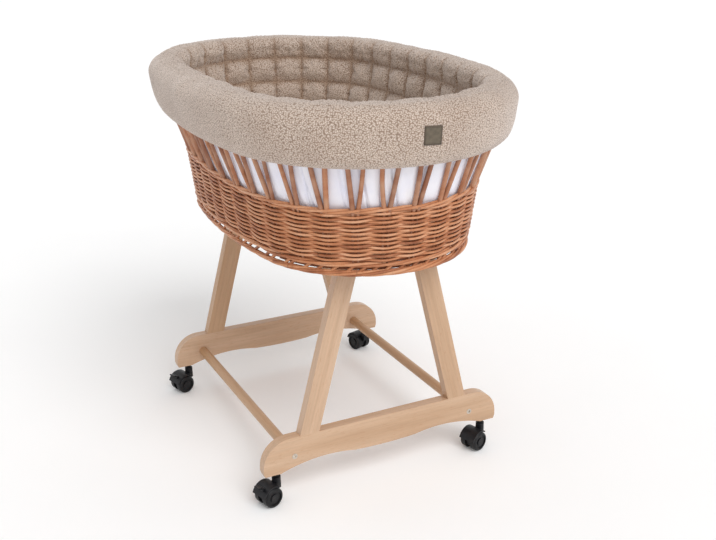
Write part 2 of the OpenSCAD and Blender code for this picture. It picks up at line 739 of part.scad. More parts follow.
castor_at(1, 1, rear_right_heading) housing(false);  // rear_right_housing
castor_at(1, 1, rear_right_heading) axle();  // rear_right_axle
castor_at(1, 1, rear_right_heading) wheel();  // rear_right_wheel_a
castor_at(1, 1, rear_right_heading) other_wheel();  // rear_right_wheel_b
castor_at(-1, -1, front_left_heading) brake();  // front_left_brake
castor_at(-1, 1, rear_left_heading) brake();  // rear_left_brake
basket_base();
foot_border();
woven_band();
stakes();
rim_hoop();
lining();
quilted_panel();
liner_cover();
mattress();
label_patch();
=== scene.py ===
# %% [markdown]
# # A willow crib on a rolling stand
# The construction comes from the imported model: boards, castors and the true size of every soft part.
# Blender adds what a solid can't show well: weaving, wood grain, looped plush and folded cotton.

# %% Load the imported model
import math

import bpy
import numpy as np
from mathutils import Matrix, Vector, noise


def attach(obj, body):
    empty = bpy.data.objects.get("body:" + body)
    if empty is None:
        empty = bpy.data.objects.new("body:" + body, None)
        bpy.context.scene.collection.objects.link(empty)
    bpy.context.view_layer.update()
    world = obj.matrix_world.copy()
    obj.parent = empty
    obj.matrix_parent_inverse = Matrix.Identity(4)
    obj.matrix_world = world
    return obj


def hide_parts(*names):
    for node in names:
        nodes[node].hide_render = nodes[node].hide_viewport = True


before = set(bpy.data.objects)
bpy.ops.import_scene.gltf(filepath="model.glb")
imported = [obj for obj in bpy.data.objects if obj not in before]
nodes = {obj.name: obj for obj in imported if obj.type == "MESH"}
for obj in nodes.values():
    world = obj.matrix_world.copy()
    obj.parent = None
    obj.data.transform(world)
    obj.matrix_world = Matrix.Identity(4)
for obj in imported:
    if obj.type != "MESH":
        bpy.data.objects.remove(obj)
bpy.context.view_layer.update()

# %% [markdown]
# ## The camera
# The picture was taken from above the near left corner, with a lens a little longer than normal.
# A camera can be set by eye, or worked out from edges whose real places are known.
# Here the corners of the stand and the rim's outline gave the place, the direction and the lens.

# %% Camera
CAMERA_AT, CAMERA_AIM = (-0.8422, -1.8037, 1.0852), (0.4255, 0.8341, -0.3510)
SENSOR_MM, LENS_MM = 36, 51.09
scene = bpy.context.scene
camera = bpy.data.objects.new("crib_camera", bpy.data.cameras.new("crib_camera"))
scene.collection.objects.link(camera)
camera.location = CAMERA_AT
camera.rotation_mode = "QUATERNION"
camera.rotation_quaternion = Vector(CAMERA_AIM).to_track_quat("-Z", "Y")
camera.data.sensor_width = SENSOR_MM
camera.data.lens = LENS_MM
camera.data.dof.use_dof = False
scene.camera = camera
print("camera", tuple(round(c, 3) for c in camera.location), "lens", camera.data.lens)

# %% [markdown]
# ## Helpers for finishes
# Each finish is a small tree of shader nodes. A few helpers keep the trees short: they add a node
# and set or link its inputs, make a colour ramp, mix two colours, start a finish and add bump.
# Colours are written as they look on a screen and turned into the linear values
# that the renderer adds up.

# %% Shader helpers
def screen(r, g, b):
    """A colour given as it looks on a screen, 0 to 255, as linear RGBA."""
    part = [c/255 for c in (r, g, b)]
    return tuple(c/12.92 if c <= 0.04045 else ((c + 0.055)/1.055)**2.4 for c in part) + (1.0,)


def put(tree, kind, inputs=None, **settings):
    """Adds a node; inputs are numbers, colours or sockets to link."""
    made = tree.nodes.new("ShaderNode" + kind)
    for key, value in settings.items():
        setattr(made, key, value)
    for key, value in (inputs or {}).items():
        if isinstance(value, bpy.types.NodeSocket):
            tree.links.new(value, made.inputs[key])
        else:
            made.inputs[key].default_value = value
    return made


def ramp(tree, factor, *stops):
    """A colour ramp; each stop is a place and a colour or a grey."""
    made = put(tree, "ValToRGB", {"Fac": factor})
    band = made.color_ramp
    while len(band.elements) < len(stops):
        band.elements.new(0.5)
    for element, (place, colour) in zip(band.elements, stops):
        element.position = place
        element.color = colour if hasattr(colour, "__len__") else (colour, colour, colour, 1)
    return made.outputs["Color"]


def mix(tree, factor, a, b, kind="MIX"):
    """Two colours mixed; factor, a and b are values or sockets."""
    return put(tree, "Mix", {0: factor, 6: a, 7: b}, data_type="RGBA", blend_type=kind).outputs[2]


print("mid grey in linear light:", round(screen(128, 128, 128)[0], 3))


# %% Finish helpers
def finish(name, **sockets):
    """A new material with its main shader's plain sockets set."""
    made = bpy.data.materials.new(name)
    made.use_nodes = True
    shader = made.node_tree.nodes["Principled BSDF"]
    for key, value in sockets.items():
        shader.inputs[key.replace("_", " ")].default_value = value
    return made, made.node_tree, shader


def bump(tree, shader, height, strength, distance):
    """Fine relief from a height socket; distance is in metres."""
    made = put(tree, "Bump", {"Height": height, "Strength": strength, "Distance": distance})
    tree.links.new(made.outputs["Normal"], shader.inputs["Normal"])


print("materials before the first finish:", len(bpy.data.materials))

# %% [markdown]
# ## Beech
# The stand is steamed beech under a thin clear lacquer: pale pinkish tan, with a fine straight grain
# and the short brown flecks that tell beech from other pale woods.
# A photographed texture would tie the wood to one picture,
# so the grain is noise drawn out along the board.
# Each board gets its own copy of the finish, because the grain has to run along that board,
# and some boards are darkened: on the stretchers and the rear legs, which sit in shade under and behind
# the basket, that is painted shade, and the front foot rail and front right leg are made a little darker.

# %% Beech finish
def beech(name, turn, seed, deep):
    """Beech whose grain runs along X after the turn, three angles in degrees; deep, 0 to 1, darkens it, in
    part as painted shade.
    """
    made, tree, shader = finish(name, Roughness=0.42, Coat_Weight=0.12, Coat_Roughness=0.35)
    where = put(tree, "TexCoord").outputs["Object"]
    angles = tuple(math.radians(a) for a in turn)
    laid = put(tree, "Mapping", {"Vector": where, "Rotation": angles,
                                 "Location": (seed, 2*seed, 3*seed)}).outputs["Vector"]

    def grain(along, across, detail):
        drawn = put(tree, "Mapping", {"Vector": laid, "Scale": (along, across, across)}).outputs["Vector"]
        return put(tree, "TexNoise", {"Vector": drawn, "Scale": 1.0, "Detail": detail,
                                      "Roughness": 0.55}).outputs["Fac"]

    broad, fine, fleck = grain(2.2, 26, 4), grain(7, 240, 5), grain(70, 720, 2)
    wood = ramp(tree, broad, (0.30, screen(192, 157, 126)), (0.52, screen(206, 173, 144)),
                (0.72, screen(215, 185, 158)))
    streak = ramp(tree, fine, (0.32, 0.80), (0.62, 1.0))
    wood = mix(tree, 0.55, wood, streak, "MULTIPLY")
    marks = ramp(tree, fleck, (0.60, 0.0), (0.70, 1.0))
    wood = mix(tree, put(tree, "Math", {0: marks, 1: 0.45}, operation="MULTIPLY").outputs[0],
               wood, screen(176, 126, 88))
    # Darkened by deep: painted shade on boards that sit in shade under and behind the basket.
    wood = mix(tree, deep, wood, screen(230, 214, 188), "MULTIPLY")
    tree.links.new(wood, shader.inputs["Base Color"])
    tree.links.new(ramp(tree, fine, (0.2, 0.50), (0.8, 0.36)), shader.inputs["Roughness"])
    bump(tree, shader, fine, 0.25, 0.0006)
    return made


print("beech finish ready")

# %% Boards
LEAN, BOARD_EDGE = 14.5, 0.0022
grain_turn = {
    "front_foot_rail": (0, 0, 0), "rear_foot_rail": (0, 0, 0),
    "front_top_rail": (0, 0, 0), "rear_top_rail": (0, 0, 0),
    "left_bearer": (0, 0, 90), "right_bearer": (0, 0, 90),
    "left_stretcher": (0, 0, 90), "right_stretcher": (0, 0, 90),
    "front_left_leg": (0, 90 - LEAN, 0), "rear_left_leg": (0, 90 - LEAN, 0),
    "front_right_leg": (0, 90 + LEAN, 0), "rear_right_leg": (0, 90 + LEAN, 0),
    "leg_dowels": (0, 90, 0), "bearer_dowels": (0, 0, 90)}
# How far each board is darkened: painted shade on the stretchers and rear legs; the front foot rail and
# front right leg are made a little darker.
darker_tone_and_shade = {"left_stretcher": 0.8, "right_stretcher": 0.8, "rear_left_leg": 0.6, "rear_right_leg": 0.6,
          "front_foot_rail": 0.25, "front_right_leg": 0.25}


def dress(node, made, edge=0.0, steps=2):
    """Gives a CAD node a finish and, where asked, softly rounded edges."""
    piece = nodes[node]
    piece.data.materials.clear()
    piece.data.materials.append(made)
    if edge:
        soft = piece.modifiers.new("soft_edges", "BEVEL")
        soft.width = edge
        soft.segments = steps
        soft.limit_method = "ANGLE"
        soft.angle_limit = math.radians(35)
        soft.harden_normals = True
        soft.use_clamp_overlap = False


for seed, (node, turn) in enumerate(grain_turn.items()):
    plain = node.endswith("dowels")
    made = beech("beech_" + node, turn, 0.37*seed, darker_tone_and_shade.get(node, 0.0))
    dress(node, made, 0.0 if plain else BOARD_EDGE, 3)
print("beech boards:", len(grain_turn))

# %% [markdown]
# ## Castors and fasteners
# The castors are black moulded nylon, twin wheels under a hood. Their shape is already right in CAD,
# so they keep it and get a fine moulded grain, a little dust and worn treads.
# The bolts in the rails are zinc-plated steel, slightly mottled and a little warm in tone.

# %% Plastic and steel finishes
def nylon(name, colour, worn):
    """Moulded black nylon; worn is how strongly the grey film shows."""
    made, tree, shader = finish(name, Roughness=0.42)
    shader.inputs["Specular IOR Level"].default_value = 0.3
    where = put(tree, "TexCoord").outputs["Object"]
    pores = put(tree, "TexNoise", {"Vector": where, "Scale": 900.0, "Detail": 2.0}).outputs["Fac"]
    dust = put(tree, "TexNoise", {"Vector": where, "Scale": 55.0, "Detail": 5.0,
                                  "Roughness": 0.65}).outputs["Fac"]
    film = ramp(tree, dust, (0.48, 0.0), (0.80, worn))
    tree.links.new(mix(tree, film, colour, screen(70, 68, 69)), shader.inputs["Base Color"])
    tree.links.new(ramp(tree, dust, (0.3, 0.36), (0.7, 0.55)), shader.inputs["Roughness"])
    bump(tree, shader, pores, 0.2, 0.0003)
    return made


def zinc():
    """Zinc-plated steel with a mottled shine."""
    made, tree, shader = finish("zinc_plate", Metallic=1.0, Roughness=0.3)
    where = put(tree, "TexCoord").outputs["Object"]
    cloud = put(tree, "TexNoise", {"Vector": where, "Scale": 260.0, "Detail": 4.0}).outputs["Fac"]
    tree.links.new(ramp(tree, cloud, (0.3, screen(186, 177, 166)), (0.7, screen(220, 212, 200))),
                   shader.inputs["Base Color"])
    tree.links.new(ramp(tree, cloud, (0.3, 0.24), (0.7, 0.42)), shader.inputs["Roughness"])
    bump(tree, shader, cloud, 0.15, 0.0002)
    return made


print("nylon and zinc finishes ready")

# %% Castors and steel dressed
HOOD_EDGE = 0.0005
hood_black = nylon("hood_nylon", screen(17, 17, 21), 0.18)
wheel_black = nylon("wheel_nylon", screen(15, 15, 18), 0.30)
steel = zinc()
for node in nodes:
    if node.endswith(("_housing", "_brake")) or node in ("castor_sleeves", "castor_stems"):
        dress(node, hood_black, HOOD_EDGE)
    elif "_wheel_" in node:
        dress(node, wheel_black)
    elif node.endswith("_axle") or node in ("stretcher_bolts", "top_screws"):
        dress(node, steel)
print("castor and steel nodes dressed")

# %% [markdown]
# ## The oval
# The basket is an oval of four arcs: two round ends and two slightly bowed sides.
# Every strand and every cloth follows it at some distance outward, so one function gives the point
# for a share t of the way round, a distance outward and a height.
# Sizes are millimetres until a mesh is made.

# %% Arcs of the oval
HALF_LEN, HALF_WID, END_FULLNESS = 361.5, 219.5, 0.94
END_R = END_FULLNESS*HALF_WID
SIDE_R = (HALF_LEN**2 + HALF_WID**2 - 2*HALF_LEN*END_R)/(2*(HALF_WID - END_R))
END_Y, SIDE_X = HALF_LEN - END_R, SIDE_R - HALF_WID
TURN = math.atan2(END_Y, SIDE_X)
FOOT_Z, BAND_TOP, RIM_Z = 455.0, 579.0, 728.0
BAND_SLOPE, STAKE_SLOPE = math.tan(math.radians(7.7)), math.tan(math.radians(19.4))


def wall(z):
    """Distance outward of the willow wall's outer face at a height."""
    z = np.asarray(z, float)
    low = (np.minimum(z, BAND_TOP) - FOOT_Z)*BAND_SLOPE
    return low + np.maximum(z - BAND_TOP, 0)*STAKE_SLOPE


EVEN = float(wall(BAND_TOP) + wall(RIM_Z))/2
SIDE_LEN = (SIDE_R + EVEN)*2*TURN
END_LEN = (END_R + EVEN)*(math.pi - 2*TURN)
ROUND = 2*(SIDE_LEN + END_LEN)
print("radius of the ends and the sides:", round(END_R), round(SIDE_R), "mm")


# %% Points round the oval
def spot(t, out, z, along=0.0):
    """Points in millimetres for shares t round the oval, with the direction outward."""
    t, out, z, along = np.broadcast_arrays(*(np.asarray(v, float) for v in (t, out, z, along)))
    d = np.mod(t, 1.0)*ROUND
    back = d >= ROUND/2
    d = d - back*ROUND/2
    side = d < SIDE_LEN
    sign = np.where(back, -1.0, 1.0)
    angle = np.where(side, -TURN + 2*TURN*d/SIDE_LEN, TURN + (math.pi - 2*TURN)*(d - SIDE_LEN)/END_LEN)
    angle = angle + math.pi*back
    radius = np.where(side, SIDE_R, END_R) + out
    c, s = np.cos(angle), np.sin(angle)
    x = np.where(side, -SIDE_X, 0.0)*sign + radius*c - along*s
    y = np.where(side, 0.0, END_Y)*sign + radius*s + along*c
    return np.stack([x, y, z], -1), np.stack([c, s, 0*c], -1)


print("round the oval at mid height:", round(ROUND), "mm")

# %% [markdown]
# ## Meshes from arrays
# Strands are tubes swept along lines, and cloths are grids. Curves with a bevel would also give tubes,
# but a mesh can carry a number at each point, and the willow finish needs two:
# how far along its rod a point lies, and how dark that rod is.

# %% Mesh helpers
def solid(name, points, faces, made, marks=None):
    """An object from points in millimetres, with named numbers stored on the points."""
    mesh = bpy.data.meshes.new(name)
    mesh.from_pydata((np.asarray(points)*0.001).tolist(), [], faces)
    for key, values in (marks or {}).items():
        store = mesh.attributes.new(key, "FLOAT", "POINT").data
        store.foreach_set("value", np.asarray(values, np.float32))
    mesh.polygons.foreach_set("use_smooth", [True]*len(mesh.polygons))
    mesh.materials.append(made)
    mesh.update()
    piece = bpy.data.objects.new(name, mesh)
    scene.collection.objects.link(piece)
    return piece


def grid_faces(rows, cols, close_rows=False, close_cols=False, start=0):
    """Quads of a grid whose points are stored row by row."""
    a = np.arange(rows if close_rows else rows - 1)[:, None]
    b = np.arange(cols if close_cols else cols - 1)[None, :]
    a1, b1 = (a + 1) % rows, (b + 1) % cols
    quads = np.stack([a*cols + b, a1*cols + b, a1*cols + b1, a*cols + b1], -1) + start
    return quads.reshape(-1, 4).tolist()


print("a grid of 3 by 4 points has", len(grid_faces(3, 4)), "quads")


# %% Rods as tubes
def strands(name, rods, made, sides=8):
    """Many rods as one piece; a rod is its points, radius, whether it closes, tone, which may carry
    painted shade, and way up.
    """
    points, faces, along, tone = [], [], [], []
    start = 0
    turn = np.arange(sides)*2*math.pi/sides
    for path, radius, closed, shade, up in rods:
        n = len(path)
        ahead = np.roll(path, -1, 0) - np.roll(path, 1, 0) if closed else np.gradient(path, axis=0)
        ahead /= np.linalg.norm(ahead, axis=1)[:, None]
        across = np.cross(ahead, up)
        across /= np.linalg.norm(across, axis=1)[:, None]
        lift = np.cross(across, ahead)
        r = np.broadcast_to(radius, n)[:, None, None]
        ring = across[:, None]*np.cos(turn)[None, :, None] + lift[:, None]*np.sin(turn)[None, :, None]
        points.append((path[:, None] + r*ring).reshape(-1, 3))
        faces += grid_faces(n, sides, closed, True, start)
        if not closed:
            faces.append(list(range(start, start + sides)))
            last = start + (n - 1)*sides
            faces.append(list(range(last + sides - 1, last - 1, -1)))
        step = np.concatenate([[0], np.cumsum(np.linalg.norm(np.diff(path, axis=0), axis=1))])
        along.append(np.repeat(step, sides))
        tone.append(np.repeat(np.broadcast_to(shade, n), sides))
        start += n*sides
    return solid(name, np.concatenate(points), faces, made,
                 {"along": np.concatenate(along), "tone": np.concatenate(tone)})


print("tubes are made of closed quads with capped ends")


# %% Pieces that lift with the basket
def on_basket(piece, slot, *stands_for):
    """A piece that lifts with the basket."""
    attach(piece, "basket")
    if stands_for:
        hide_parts(*stands_for)
    print(piece.name, "points:", len(piece.data.vertices))


print("nodes that a piece may stand for:", len(nodes))

# %% [markdown]
# ## Willow
# Boiled willow is reddish honey brown and slightly glossy, and no two rods match.
# The tone stored on each rod picks its colour, slow noise along the rod lets that colour drift,
# fine noise gives the fibres, and a few darker rings stand for the buds that were trimmed off.
# On the stakes inside the band and on the rods behind the weave, a low tone is painted shade.

# %% Willow finish
def willow(name, wash):
    """Boiled willow; wash from 0 to 1 bleaches it as light does where a rod stands free."""
    made, tree, shader = finish(name, Roughness=0.45, Coat_Weight=0.05, Coat_Roughness=0.3)
    shader.inputs["Specular IOR Level"].default_value = 0.3
    tone = put(tree, "Attribute", attribute_name="tone").outputs["Fac"]
    along = put(tree, "Attribute", attribute_name="along").outputs["Fac"]
    where = put(tree, "TexCoord").outputs["Object"]
    apart = put(tree, "Math", {0: tone, 1: 900.0}, operation="MULTIPLY").outputs[0]
    line = put(tree, "CombineXYZ", {"X": along, "Y": apart}).outputs[0]
    slow = put(tree, "TexNoise", {"Vector": line, "Scale": 0.035, "Detail": 3.0}).outputs["Fac"]
    ring = put(tree, "TexNoise", {"Vector": line, "Scale": 0.11, "Detail": 1.0}).outputs["Fac"]
    fibre = put(tree, "TexNoise", {"Vector": where, "Scale": 420.0, "Detail": 4.0,
                                   "Roughness": 0.6}).outputs["Fac"]
    drift = put(tree, "Math", {0: slow, 1: 0.5}, operation="SUBTRACT").outputs[0]
    pick = put(tree, "Math", {0: tone, 1: drift}, operation="ADD").outputs[0]
    bark = ramp(tree, pick, (0.05, screen(148, 88, 57)), (0.35, screen(187, 121, 82)),
                (0.6, screen(206, 143, 102)), (0.95, screen(224, 170, 133)))
    bark = mix(tree, 0.35, bark, ramp(tree, fibre, (0.30, 0.55), (0.65, 1.0)), "MULTIPLY")
    bark = mix(tree, ramp(tree, ring, (0.70, 0.0), (0.76, 0.5)), bark, screen(104, 54, 30))
    bark = mix(tree, ramp(tree, slow, (0.35, 0.3*wash), (0.65, 1.9*wash)), bark, screen(178, 146, 126))
    tree.links.new(bark, shader.inputs["Base Color"])
    tree.links.new(ramp(tree, fibre, (0.3, 0.34), (0.7, 0.5)), shader.inputs["Roughness"])
    bump(tree, shader, fibre, 0.3, 0.0006)
    return made


willow_finish = willow("boiled_willow", 0.0)
stake_finish = willow("bleached_willow", 0.28)
dress("rim_hoop", willow_finish)
print("willow finishes:", willow_finish.name, stake_finish.name)

# %% [markdown]
# ## Stakes
# Thirty-six pairs of rods stand round the basket. In the woven band the two rods of a pair
# run side by side; above it they lean apart like a V and end under the rim.
# Each rod is one tube from the foot border to the rim, tapered and a little crooked, as grown wood is.

# %% Stakes
PAIRS, SHIFT, FOOT_GAP, HEAD_GAP = 36, 0.22, 9.0, 36.0
STAKE_FOOT, INTO_RIM, MID_WALL, WOVEN_R, FREE_MORE, EASE = 474, 6, 4, 2.2, 2.1, 14
draw = np.random.default_rng(11)
EAST = np.array([1.0, 0.0, 0.0])
rods = []
for pair in range(PAIRS):
    for side in (-1, 1):
        z = np.concatenate([np.linspace(STAKE_FOOT, BAND_TOP, 10)[:-1],
                            np.linspace(BAND_TOP, RIM_Z + INTO_RIM, 15)])
        rise = np.clip((z - BAND_TOP)/(RIM_Z - BAND_TOP), 0, 1.05)
        free = np.clip((z - BAND_TOP + EASE)/EASE, 0, 1)
        sway = draw.normal(0, 1.3, 2)
        crook = sway*np.sin(math.pi*np.clip(rise, 0, 1)*draw.uniform(0.8, 1.5))[:, None]
        gap = side*(FOOT_GAP + (HEAD_GAP - FOOT_GAP)*rise + draw.normal(0, 2.0)*rise)/2
        depth = wall(z) - MID_WALL - 1.3*(1 - free) + 0.4*crook[:, 0]
        path, _ = spot((pair + SHIFT)/PAIRS, depth, z, gap + crook[:, 1])
        thick = WOVEN_R + FREE_MORE*free - 0.3*rise + draw.normal(0, 0.3)*free
        # The random tone is lowered where the rod runs inside the band: painted shade for the recess
        # behind the weavers.
        shade = draw.uniform(-0.05, 0.55)*(0.25 + 0.75*free)
        rods.append((path, thick, False, shade, EAST + 0.3))
stakes = strands("stake_rods", rods, stake_finish, 10)
on_basket(stakes, "willow_stakes", "stakes")

# %% [markdown]
# ## The woven band
# Thin weavers run round the basket, in front of one pair of stakes and behind the next,
# and each row does the opposite of the row below. A picture of weaving on a plain wall would look flat
# at the edge, so every row is a real tube that swings in and out and dips at each pair.
# Where a rod ends, the tone changes to the next rod's. Twisted rods bind the band above and below,
# and plain rods behind the rows stop the eye from seeing through; their very dark tone is painted shade.

# %% Weaver helpers
STEPS = PAIRS*14
t = np.arange(STEPS)/STEPS
swing = np.cos(math.pi*(PAIRS*t - SHIFT))
swing = np.sign(swing)*np.abs(swing)**0.75


def ripple(count, size):
    """A smooth closed wander made of a few waves."""
    waves = [(draw.integers(2, count), draw.uniform(0, 6.28), draw.normal(0, size)) for _ in range(6)]
    return sum(a*np.sin(2*math.pi*n*t + p) for n, p, a in waves)/2


def joined_tones(low, high):
    """A tone that changes where one rod ends and the next is laid in."""
    cuts = np.sort(draw.uniform(0, 1, 4))
    return draw.uniform(low, high, 5)[np.searchsorted(cuts, t) % 5]


print("points along a weaver:", STEPS)

# %% Weavers
ROW_PITCH, FIRST_ROW, WEAVER_R, SWING = 3.92, 486.4, 2.25, 3.3
row_count = int((BAND_TOP - 4 - FIRST_ROW)/ROW_PITCH) + 1
UP = np.array([0.0, 0.0, 1.0])
rods = []
sag = ripple(14, 1.5)
for row in range(row_count):
    dip = draw.normal(1.3, 0.3)*swing**2 - 0.6
    z = FIRST_ROW + row*ROW_PITCH + ripple(40, 0.28) + sag*row/row_count - dip
    side = 1 if row % 2 else -1
    path, _ = spot(t, wall(z) - MID_WALL + side*swing*(SWING + ripple(50, 0.2)), z)
    rods.append((path, WEAVER_R + ripple(30, 0.1), True, joined_tones(0.15, 0.8), UP))
print("rows of weavers:", row_count)

# %% Binding rods and dark rods behind
BINDERS, BIND_SWING, TOP_R = 3, 2.6, 2.5
FOOT_R, FOOT_BIND_Z, FOOT_TURNS = 2.6, 477.9, 9
# The rods behind the rows get a very dark tone: painted shade for the gaps between the weavers.
BACK_IN, BACK_R, SHADE_TONE_BEHIND = 7.6, 2.0, 0.08
for strand in range(BINDERS):
    turn = 2*math.pi*(PAIRS/BINDERS*t + strand/BINDERS)
    z = BAND_TOP + 0.5 + BIND_SWING*np.sin(turn) + sag
    path, _ = spot(t, wall(z) - 3.2 + 3.4*np.cos(turn), z)
    rods.append((path, TOP_R, True, joined_tones(0.45, 0.9), UP))
    turn = 2*math.pi*(FOOT_TURNS*t + strand/BINDERS) + 0.3*ripple(12, 1.0)
    z = FOOT_BIND_Z + BIND_SWING*np.sin(turn)
    path, _ = spot(t, wall(z) - 3.6 + 3.0*np.cos(turn), z)
    rods.append((path, FOOT_R, True, joined_tones(0.3, 0.8), UP))
for row in range(-1, row_count):
    z = FIRST_ROW + row*ROW_PITCH
    path, _ = spot(t[::4], wall(z) - BACK_IN, z)
    rods.append((path, BACK_R, True, SHADE_TONE_BEHIND, UP))
band = strands("woven_weavers", rods, willow_finish, 8)
on_basket(band, "willow", "woven_band")

# %% [markdown]
# ## The foot border
# At the foot, five rods twist round each other like a slow rope, slimmer along the sides.
# Short rods slant down to it from the band, two for each pair of stakes,
# and leave small holes that show daylight along the sides.
# A solid ring would close those holes, so the rope and the slanting rods are made one by one.
# At the round ends a rod behind the rope closes the gap.

# %% Foot border
BORDER_OUT, STRANDS, ROPE_TURNS = -3.0, 5, 9
SLANT_R, SLANT_LOW, SLANT_RISE = 3.0, FOOT_Z + 5, 20.4
BASE_Z, CLOSER_OUT, CLOSER_R = 468.2, -9.6, 2.7
side_share = 0.5 + 0.5*np.cos(4*math.pi*(t - 0.5*SIDE_LEN/ROUND))
twist, rope_r = 3.9 - 1.3*side_share, 2.6 - 0.4*side_share
rope_z = FOOT_Z + twist + rope_r
rods = []
for strand in range(STRANDS):
    turn = 2*math.pi*(ROPE_TURNS*t + strand/STRANDS)
    path, _ = spot(t, BORDER_OUT + twist*np.cos(turn), rope_z + twist*np.sin(turn))
    rods.append((path, rope_r + ripple(30, 0.1), True, joined_tones(0.2, 0.75), UP))
rise = np.linspace(0, 1, 9)
for foot in range(2*PAIRS):
    place = 0.5*foot + SHIFT - 0.5*(1 - rise) + draw.normal(0, 0.08)
    path, _ = spot(place/PAIRS, BORDER_OUT - rise, SLANT_LOW + SLANT_RISE*rise)
    rods.append((path, SLANT_R, False, draw.uniform(0.1, 0.6), EAST + 0.3))
for end in (0.25, 0.75):
    bend = end + END_LEN/ROUND*np.linspace(-0.45, 0.45, 60) + 0.5*SIDE_LEN/ROUND
    rods.append((spot(bend, CLOSER_OUT, BASE_Z)[0], CLOSER_R, False, 0.1, UP))
border = strands("foot_border_rope", rods, willow_finish, 8)
on_basket(border, "willow", "foot_border")

# %% [markdown]
# ## The woven base
# Underneath, weavers run in ever smaller ovals over radial sticks. It is only seen from below,
# so it is the same weaving laid flat: the swing is up and down instead of in and out.

# %% Base weave
STICKS, RING_PITCH, RING_R, STICK_R, MIDDLE = 36, 4.3, 2.1, 1.7, -196.0
few = np.arange(STICKS*6)/(STICKS*6)
flat_swing = np.cos(math.pi*(STICKS*few - 0.5))
rods = []
for ring, out in enumerate(np.arange(-13.0, MIDDLE, -RING_PITCH)):
    path, _ = spot(few, out, BASE_Z + (1 if ring % 2 else -1)*2.0*flat_swing)
    rods.append((path, RING_R, True, draw.uniform(0.15, 0.7), UP))
for stick in range(STICKS):
    path, _ = spot((stick + 0.5)/STICKS, np.linspace(-10.0, MIDDLE, 8), BASE_Z)
    rods.append((path, STICK_R, False, draw.uniform(0.2, 0.6), UP))
base = strands("base_weave", rods, willow_finish, 6)
on_basket(base, "willow", "basket_base")

# %% [markdown]
# ## Cotton lining
# White cotton shows between the stakes, in soft upright folds because it is cut a little too wide.
# A cloth simulation could gather it, but it is held at both edges and barely moves,
# so the folds are waves of uneven width that grow from the hems to the middle,
# and a few dozen sharp creases are pressed in between them.
# The white cotton also gives off a faint bluish glow: painted light that brightens the lining where it
# lies in shade between the stakes.

# %% Cotton finish
def cotton(name, light, shade, painted_glow=0.0, threads="XYZ"):
    """Plain woven cotton; threads names the axes that its fine ribs are spaced along; the emission is a
    faint bluish painted light.
    """
    made, tree, shader = finish(name, Roughness=0.85, Sheen_Weight=0.15, Sheen_Roughness=0.5,
                                Emission_Color=(0.84, 0.86, 1.0, 1.0), Emission_Strength=painted_glow)
    where = put(tree, "TexCoord").outputs["Object"]
    weave = 0.0
    for axis in threads:
        rib = put(tree, "TexWave", {"Vector": where, "Scale": 420.0, "Distortion": 1.5, "Detail": 1.0},
                  bands_direction=axis).outputs["Fac"]
        weave = put(tree, "Math", {0: rib, 1: 1/len(threads), 2: weave},
                    operation="MULTIPLY_ADD").outputs[0]
    cloud = put(tree, "TexNoise", {"Vector": where, "Scale": 18.0, "Detail": 4.0}).outputs["Fac"]
    tree.links.new(mix(tree, 0.12, ramp(tree, cloud, (0.3, shade), (0.65, light)), weave, "MULTIPLY"),
                   shader.inputs["Base Color"])
    bump(tree, shader, weave, 0.2, 0.0004)
    return made


# The lining's emission of 0.06 is painted light.
white_cotton = cotton("white_cotton", screen(251, 250, 255), screen(237, 237, 250), 0.06)
print("cotton finish:", white_cotton.name)

# %% Lining wall
FOLDS, CREASES, DEEPEST = 1440, 76, 17.0
t = np.arange(FOLDS)/FOLDS
bend = t + sum(draw.normal(0, 0.0035)*np.sin(2*math.pi*n*t + draw.uniform(0, 6.28))
               for n in range(3, 12))
fold = np.sin(2*math.pi*58*bend) + 0.6*np.sin(2*math.pi*91*bend + 1.0)
creases = [(draw.uniform(0, 1), draw.uniform(3.0, 7.0), draw.normal(0, 0.004), draw.uniform(0, 6.28),
            draw.uniform(0.0009, 0.0021)) for _ in range(CREASES)]
LINING_LOW, LINING_HIGH = 475.6, 726.0
heights = np.linspace(LINING_LOW, LINING_HIGH, 36)
cloth = []
for z in heights:
    loose = max(math.sin(math.pi*(z - LINING_LOW)/(LINING_HIGH - LINING_LOW)), 0)**0.5
    clear = 10.0 + 1.8*min(max((592 - z)/20, 0), 1)
    lean = 0.002*math.sin(z/37.0)
    out = wall(z) - clear + loose*0.9*np.roll(fold, int(12*math.sin(z/60)))
    for place, deep, slant, start, half in creases:
        off = np.mod(t - place - slant*(z - 600)/100 - 0.0012*math.sin(z/28 + start) + 0.5, 1.0) - 0.5
        out -= loose*deep*np.clip(1 - np.abs(off)/half, 0, 1)**0.8
    out = np.maximum(out, wall(z) - DEEPEST)
    cloth.append(spot(t + lean, out, z)[0])
faces = grid_faces(len(heights), FOLDS, False, True)
lining = solid("lining_wall", np.concatenate(cloth), faces, white_cotton)
on_basket(lining, "cotton", "lining")

# %% Lining floor
FLOOR_Z, FLOOR_COLS = 474.3, 180
rings = np.linspace(-9.5, -200, 28)
t = np.arange(FLOOR_COLS)/FLOOR_COLS
floor_cloth = [spot(t, out, FLOOR_Z + 0.25*np.sin(2*math.pi*7*t + out/9))[0] for out in rings]
faces = grid_faces(len(rings), FLOOR_COLS, False, True)
faces.append(list(range((len(rings) - 1)*FLOOR_COLS, len(rings)*FLOOR_COLS)))
lining_floor = solid("lining_floor", np.concatenate(floor_cloth), faces, white_cotton)
on_basket(lining_floor, "cotton")
